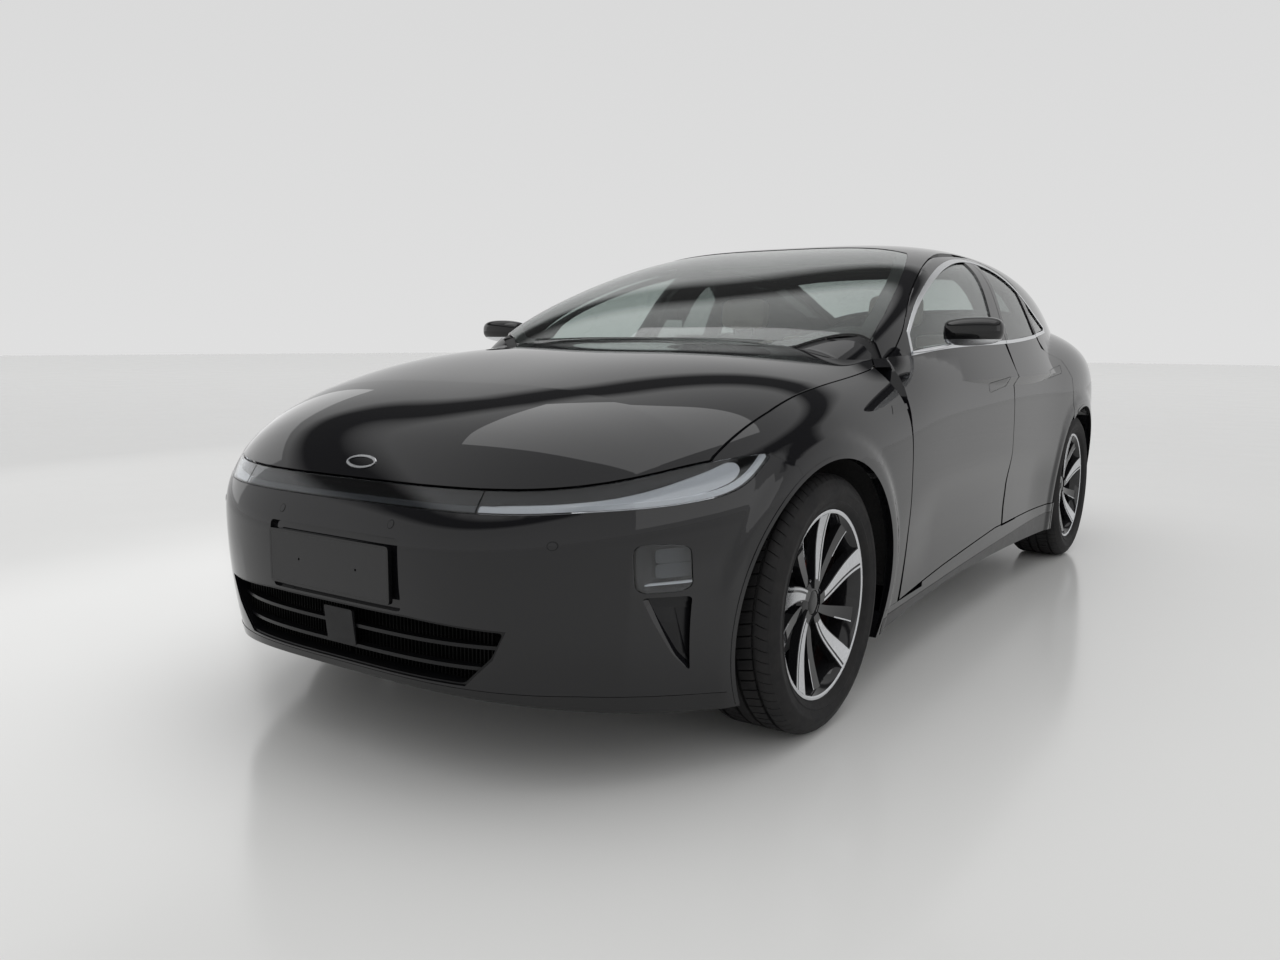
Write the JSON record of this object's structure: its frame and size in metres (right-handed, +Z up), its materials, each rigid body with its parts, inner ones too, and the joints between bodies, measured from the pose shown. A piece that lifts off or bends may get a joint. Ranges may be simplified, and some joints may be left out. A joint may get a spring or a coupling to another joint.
{
  "type": "saloon car",
  "caption": "Four-door fastback saloon car with hollow cabin, hinged doors, bonnet and boot lid, steered front wheels and rolling tyres.",
  "frame": {"origin": "on the floor under the middle of the car's length and width", "axes": "+Z up; the nose points along -Y and the car's left side along +X"},
  "size_m": [2.226, 4.9015, 1.4735],
  "materials": {
    "paint": "deep gloss black paint",
    "gloss_black": "gloss black",
    "black_plastic": "grained black",
    "bright_trim": "satin silver",
    "glass": "tinted",
    "lamp": "clear",
    "rear_lamp": "red",
    "plate": "blank",
    "underbody": "satin",
    "aluminium": "cast",
    "steel": "coated",
    "alloy": "machined with black",
    "tyre": "moulded",
    "seat": "grained beige",
    "dash": "soft grained",
    "wheel_rim": "smooth black"
  },
  "bodies": {
    "root": {"front_bumper": "paint", "headlamps": "lamp", "number_plates": "plate", "front_wings": "paint", "body_sides": "paint", "roof_panel": "gloss_black", "fixed_glass": "glass", "tail_lamp": "rear_lamp", "rear_bumper": "paint", "front_structure": "underbody", "rear_structure": "underbody", "floor_pan": "underbody", "battery_pack": "aluminium", "front_axle_frame": "steel", "rear_axle_frame": "steel", "drive_units": "aluminium", "front_seats": "seat", "rear_seat": "seat", "dashboard": "dash"},
    "bonnet": {"bonnet": "paint"},
    "boot_lid": {"boot_lid": "paint"},
    "steering_wheel": {"steering_wheel": "wheel_rim"},
    "door_front_left": {"door_front_left": "paint", "glass_front_left": "glass", "mirror_left": "gloss_black"},
    "door_front_right": {"door_front_right": "paint", "glass_front_right": "glass", "mirror_right": "gloss_black"},
    "door_rear_left": {"door_rear_left": "paint", "glass_rear_left": "glass"},
    "door_rear_right": {"door_rear_right": "paint", "glass_rear_right": "glass"},
    "knuckle_left": {"knuckle_left": "steel"},
    "wheel_front_left": {"tyre_front_left": "tyre", "rim_front_left": "alloy"},
    "wheel_rear_left": {"tyre_rear_left": "tyre", "rim_rear_left": "alloy"},
    "knuckle_right": {"knuckle_right": "steel"},
    "wheel_front_right": {"tyre_front_right": "tyre", "rim_front_right": "alloy"},
    "wheel_rear_right": {"tyre_rear_right": "tyre", "rim_rear_right": "alloy"}
  },
  "joints": [
    {"name": "bonnet_hinge", "type": "hinge", "parent": "root", "child": "bonnet", "pos_m": [0, -0.9, 1.08], "axis": [-1, 0, 0], "range_deg": [0, 50]},
    {"name": "boot_hinge", "type": "hinge", "parent": "root", "child": "boot_lid", "pos_m": [0, 1.77, 1.205], "axis": [1, 0, 0], "range_deg": [0, 70]},
    {"name": "door_front_left_hinge", "type": "hinge", "parent": "root", "child": "door_front_left", "pos_m": [0.8605, -0.88998, 0.65], "axis": [0, 0, -1], "range_deg": [0, 65]},
    {"name": "door_rear_left_hinge", "type": "hinge", "parent": "root", "child": "door_rear_left", "pos_m": [0.8505, 0.30872, 0.65], "axis": [0, 0, -1], "range_deg": [0, 65]},
    {"name": "steer_front_left", "type": "hinge", "parent": "root", "child": "knuckle_left", "pos_m": [0.705, -1.54, 0.195], "axis": [-0.1114, 0, 0.9938], "range_deg": [-33, 33]},
    {"name": "spin_front_left", "type": "hinge", "parent": "knuckle_left", "child": "wheel_front_left", "pos_m": [0.805, -1.54, 0.352], "axis": [1, 0, 0], "continuous": true},
    {"name": "spin_rear_left", "type": "hinge", "parent": "root", "child": "wheel_rear_left", "pos_m": [0.805, 1.375, 0.352], "axis": [1, 0, 0], "continuous": true},
    {"name": "door_front_right_hinge", "type": "hinge", "parent": "root", "child": "door_front_right", "pos_m": [-0.8605, -0.88998, 0.65], "axis": [0, 0, 1], "range_deg": [0, 65]},
    {"name": "door_rear_right_hinge", "type": "hinge", "parent": "root", "child": "door_rear_right", "pos_m": [-0.8505, 0.30872, 0.65], "axis": [0, 0, 1], "range_deg": [0, 65]},
    {"name": "steer_front_right", "type": "hinge", "parent": "root", "child": "knuckle_right", "pos_m": [-0.705, -1.54, 0.195], "axis": [0.1114, 0, 0.9938], "range_deg": [-33, 33]},
    {"name": "spin_front_right", "type": "hinge", "parent": "knuckle_right", "child": "wheel_front_right", "pos_m": [-0.805, -1.54, 0.352], "axis": [1, 0, 0], "continuous": true},
    {"name": "spin_rear_right", "type": "hinge", "parent": "root", "child": "wheel_rear_right", "pos_m": [-0.805, 1.375, 0.352], "axis": [1, 0, 0], "continuous": true},
    {"name": "steering_wheel_turn", "type": "hinge", "parent": "root", "child": "steering_wheel", "pos_m": [0.37, -0.33513, 0.87], "axis": [0, 0.8988, 0.4384], "range_deg": [-462, 462]}
  ],
  "couplings": [
    {"joint": "steer_front_right", "follows": "steer_front_left", "ratio": 1},
    {"joint": "steering_wheel_turn", "follows": "steer_front_left", "ratio": 14}
  ]
}
